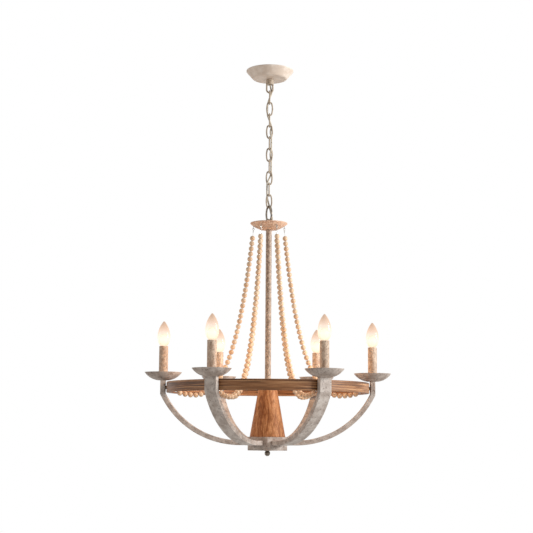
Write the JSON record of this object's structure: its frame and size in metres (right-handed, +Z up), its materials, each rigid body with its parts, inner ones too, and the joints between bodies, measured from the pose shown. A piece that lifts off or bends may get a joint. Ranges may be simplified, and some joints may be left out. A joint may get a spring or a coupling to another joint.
{
  "type": "beaded wood chandelier",
  "caption": "Candle-style chandelier with curved arms, a wood hoop and cone, and strings of wood beads, hung on a chain from a ceiling canopy.",
  "frame": {"origin": "on the ceiling, at the centre of the mounting crossbar's top face, on the fixture's axis", "axes": "+Z up, against the ceiling; +X along the crossbar, towards the first arm"},
  "size_m": [0.659, 0.5838, 1.0531],
  "materials": {
    "canopy_finish": "brushed cream paint",
    "chain_finish": "cream paint",
    "dark_bronze": "satin",
    "zinc_steel": "zinc plated",
    "pale_cord": "smooth",
    "crown_wood": "washed",
    "stem_finish": "distressed grey white",
    "cone_wood": "weathered",
    "hoop_wood": "weathered",
    "arm_finish": "distressed grey white",
    "sleeve_finish": "washed beige",
    "holder_plastic": "matt",
    "bulb_glass": "clear, warm",
    "bead_wood": "natural, matt",
    "bead_wire": "bright",
    "copper_lead": "smooth"
  },
  "bodies": {
    "ceiling_fixing": {"canopy": "canopy_finish", "mounting_crossbar": "zinc_steel", "threaded_nipple": "zinc_steel", "lock_nut": "zinc_steel", "screw_collar": "canopy_finish", "canopy_loop": "chain_finish", "supply_cord": "pale_cord"},
    "link_01": {"chain_link_01": "chain_finish"},
    "link_02": {"chain_link_02": "chain_finish"},
    "link_03": {"chain_link_03": "chain_finish"},
    "link_04": {"chain_link_04": "chain_finish"},
    "link_05": {"chain_link_05": "chain_finish"},
    "link_06": {"chain_link_06": "chain_finish"},
    "link_07": {"chain_link_07": "chain_finish"},
    "link_08": {"chain_link_08": "chain_finish"},
    "link_09": {"chain_link_09": "chain_finish"},
    "link_10": {"chain_link_10": "chain_finish"},
    "connector": {"connecting_link": "dark_bronze"},
    "fixture": {"hanging_loop": "dark_bronze", "crown_dish": "crown_wood", "stem": "stem_finish", "wood_cone": "cone_wood", "hub_body": "arm_finish", "hub_cover": "arm_finish", "finial": "dark_bronze", "arm_1": "arm_finish", "arm_2": "arm_finish", "arm_3": "arm_finish", "arm_4": "arm_finish", "arm_5": "arm_finish", "arm_6": "arm_finish", "wood_hoop": "hoop_wood", "hoop_spacers": "dark_bronze", "hoop_screws": "dark_bronze", "arm_screws": "zinc_steel", "candle_dishes": "arm_finish", "candle_posts": "zinc_steel", "dish_nuts": "zinc_steel", "candle_sleeves": "sleeve_finish", "lampholders": "holder_plastic", "screw_eyes": "bead_wire", "leads": "copper_lead"},
    "bulb_1": {"bulb_1": "bulb_glass"},
    "bulb_2": {"bulb_2": "bulb_glass"},
    "bulb_3": {"bulb_3": "bulb_glass"},
    "bulb_4": {"bulb_4": "bulb_glass"},
    "bulb_5": {"bulb_5": "bulb_glass"},
    "bulb_6": {"bulb_6": "bulb_glass"},
    "strand_1": {"strand_wire_1": "bead_wire", "bead_strand_1": "bead_wood"},
    "strand_2": {"strand_wire_2": "bead_wire", "bead_strand_2": "bead_wood"},
    "strand_3": {"strand_wire_3": "bead_wire", "bead_strand_3": "bead_wood"},
    "strand_4": {"strand_wire_4": "bead_wire", "bead_strand_4": "bead_wood"},
    "strand_5": {"strand_wire_5": "bead_wire", "bead_strand_5": "bead_wood"},
    "strand_6": {"strand_wire_6": "bead_wire", "bead_strand_6": "bead_wood"}
  },
  "joints": [
    {"name": "link_01_swing", "type": "hinge", "parent": "ceiling_fixing", "child": "link_01", "pos_m": [0, 0, -0.06165], "axis": [1, 0, 0], "range_deg": [-12, 12], "deforming": ["supply_cord"]},
    {"name": "link_02_swing", "type": "hinge", "parent": "link_01", "child": "link_02", "pos_m": [0, 0, -0.0936], "axis": [0, 1, 0], "range_deg": [-12, 12]},
    {"name": "link_03_swing", "type": "hinge", "parent": "link_02", "child": "link_03", "pos_m": [0, 0, -0.1259], "axis": [1, 0, 0], "range_deg": [-12, 12]},
    {"name": "link_04_swing", "type": "hinge", "parent": "link_03", "child": "link_04", "pos_m": [0, 0, -0.1582], "axis": [0, 1, 0], "range_deg": [-12, 12]},
    {"name": "link_05_swing", "type": "hinge", "parent": "link_04", "child": "link_05", "pos_m": [0, 0, -0.1905], "axis": [1, 0, 0], "range_deg": [-12, 12]},
    {"name": "link_06_swing", "type": "hinge", "parent": "link_05", "child": "link_06", "pos_m": [0, 0, -0.2228], "axis": [0, 1, 0], "range_deg": [-12, 12]},
    {"name": "link_07_swing", "type": "hinge", "parent": "link_06", "child": "link_07", "pos_m": [0, 0, -0.2551], "axis": [1, 0, 0], "range_deg": [-12, 12]},
    {"name": "link_08_swing", "type": "hinge", "parent": "link_07", "child": "link_08", "pos_m": [0, 0, -0.2874], "axis": [0, 1, 0], "range_deg": [-12, 12]},
    {"name": "link_09_swing", "type": "hinge", "parent": "link_08", "child": "link_09", "pos_m": [0, 0, -0.3197], "axis": [1, 0, 0], "range_deg": [-12, 12]},
    {"name": "link_10_swing", "type": "hinge", "parent": "link_09", "child": "link_10", "pos_m": [0, 0, -0.352], "axis": [0, 1, 0], "range_deg": [-12, 12]},
    {"name": "connector_swing", "type": "hinge", "parent": "link_10", "child": "connector", "pos_m": [0, 0, -0.3843], "axis": [0.9397, 0.342, 0], "range_deg": [-12, 12]},
    {"name": "fixture_swing", "type": "hinge", "parent": "connector", "child": "fixture", "pos_m": [0, 0, -0.4225], "axis": [-0.6428, 0.766, 0], "range_deg": [-12, 12]},
    {"name": "bulb_1_lift", "type": "slide", "parent": "fixture", "child": "bulb_1", "axis": [0, 0, 1], "range_m": [0, 0.035]},
    {"name": "bulb_2_lift", "type": "slide", "parent": "fixture", "child": "bulb_2", "axis": [0, 0, 1], "range_m": [0, 0.035]},
    {"name": "bulb_3_lift", "type": "slide", "parent": "fixture", "child": "bulb_3", "axis": [0, 0, 1], "range_m": [0, 0.035]},
    {"name": "bulb_4_lift", "type": "slide", "parent": "fixture", "child": "bulb_4", "axis": [0, 0, 1], "range_m": [0, 0.035]},
    {"name": "bulb_5_lift", "type": "slide", "parent": "fixture", "child": "bulb_5", "axis": [0, 0, 1], "range_m": [0, 0.035]},
    {"name": "bulb_6_lift", "type": "slide", "parent": "fixture", "child": "bulb_6", "axis": [0, 0, 1], "range_m": [0, 0.035]},
    {"name": "strand_1_sway", "type": "hinge", "parent": "fixture", "child": "strand_1", "pos_m": [0.042, 0, -0.44221], "axis": [0.4299, 0, -0.9029], "range_deg": [-10, 10]},
    {"name": "strand_2_sway", "type": "hinge", "parent": "fixture", "child": "strand_2", "pos_m": [0.021, 0.03637, -0.44221], "axis": [0.2149, 0.3723, -0.9029], "range_deg": [-10, 10]},
    {"name": "strand_3_sway", "type": "hinge", "parent": "fixture", "child": "strand_3", "pos_m": [-0.021, 0.03637, -0.44221], "axis": [-0.2149, 0.3723, -0.9029], "range_deg": [-10, 10]},
    {"name": "strand_4_sway", "type": "hinge", "parent": "fixture", "child": "strand_4", "pos_m": [-0.042, 0, -0.44221], "axis": [-0.4299, 0, -0.9029], "range_deg": [-10, 10]},
    {"name": "strand_5_sway", "type": "hinge", "parent": "fixture", "child": "strand_5", "pos_m": [-0.021, -0.03637, -0.44221], "axis": [-0.215, -0.3723, -0.9029], "range_deg": [-10, 10]},
    {"name": "strand_6_sway", "type": "hinge", "parent": "fixture", "child": "strand_6", "pos_m": [0.021, -0.03637, -0.44221], "axis": [0.2149, -0.3723, -0.9029], "range_deg": [-10, 10]}
  ]
}
